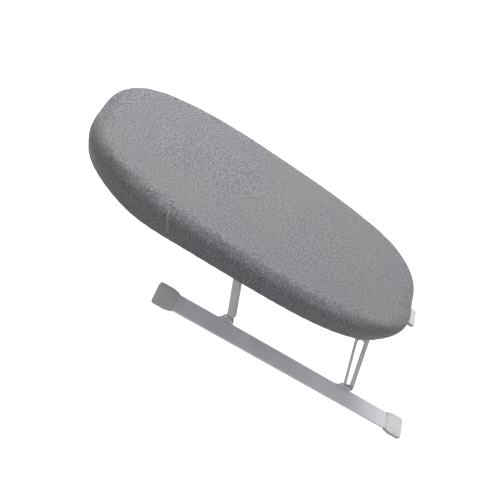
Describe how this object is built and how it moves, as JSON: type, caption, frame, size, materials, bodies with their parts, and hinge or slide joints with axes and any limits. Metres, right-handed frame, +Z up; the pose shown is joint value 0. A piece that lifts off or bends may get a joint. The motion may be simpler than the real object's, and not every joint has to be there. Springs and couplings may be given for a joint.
{
  "type": "tabletop ironing board",
  "caption": "Small tabletop ironing board: padded rounded board on folding parallel legs that stand on two long flat feet with end caps.",
  "frame": {"origin": "on the table, under the middle of the whole object", "axes": "+X along the board towards the end that the feet reach past, +Y to the rear, +Z up"},
  "size_m": [0.63, 0.2452, 0.16],
  "materials": {
    "cover_fabric": "silver-coated plain weave, slightly shiny",
    "foam": "open-cell foam",
    "elastic": "woven elastic",
    "pan_paint": "satin powder coat",
    "leg_paint": "satin silver-grey paint",
    "foot_paint": "satin silver-grey paint",
    "cap_plastic": "milky translucent moulding",
    "zinc_steel": "zinc plated"
  },
  "bodies": {
    "feet": {"foot_front": "foot_paint", "foot_rear": "foot_paint", "end_cap_front_left": "cap_plastic", "end_cap_front_right": "cap_plastic", "end_cap_rear_left": "cap_plastic", "end_cap_rear_right": "cap_plastic", "pivot_pins": "zinc_steel", "pivot_washers": "zinc_steel", "stop_studs": "zinc_steel"},
    "left_legs": {"left_leg_front": "leg_paint", "left_leg_rear": "leg_paint", "left_top_axle": "zinc_steel", "left_axle_washers": "zinc_steel", "left_axle_nuts": "zinc_steel"},
    "right_legs": {"right_leg_front": "leg_paint", "right_leg_rear": "leg_paint", "right_top_axle": "zinc_steel", "right_axle_washers": "zinc_steel", "right_axle_nuts": "zinc_steel"},
    "board": {"pan": "pan_paint", "foam_pad": "foam", "cover": "cover_fabric", "hem_elastic": "elastic", "left_bracket": "leg_paint", "right_bracket": "leg_paint", "left_bracket_rivets": "zinc_steel", "right_bracket_rivets": "zinc_steel"}
  },
  "joints": [
    {"name": "left_legs_fold", "type": "hinge", "parent": "feet", "child": "left_legs", "pos_m": [-0.019, 0, 0.0085], "axis": [0, 1, 0], "range_deg": [0, 103.8]},
    {"name": "right_legs_fold", "type": "hinge", "parent": "feet", "child": "right_legs", "pos_m": [0.199, 0, 0.0085], "axis": [0, 1, 0], "range_deg": [0, 103.8]},
    {"name": "board_level", "type": "hinge", "parent": "left_legs", "child": "board", "pos_m": [-0.08415, 0, 0.127], "axis": [0, 1, 0], "range_deg": [-103.8, 0]}
  ],
  "couplings": [
    {"joint": "right_legs_fold", "follows": "left_legs_fold", "ratio": 1},
    {"joint": "board_level", "follows": "left_legs_fold", "ratio": -1}
  ]
}
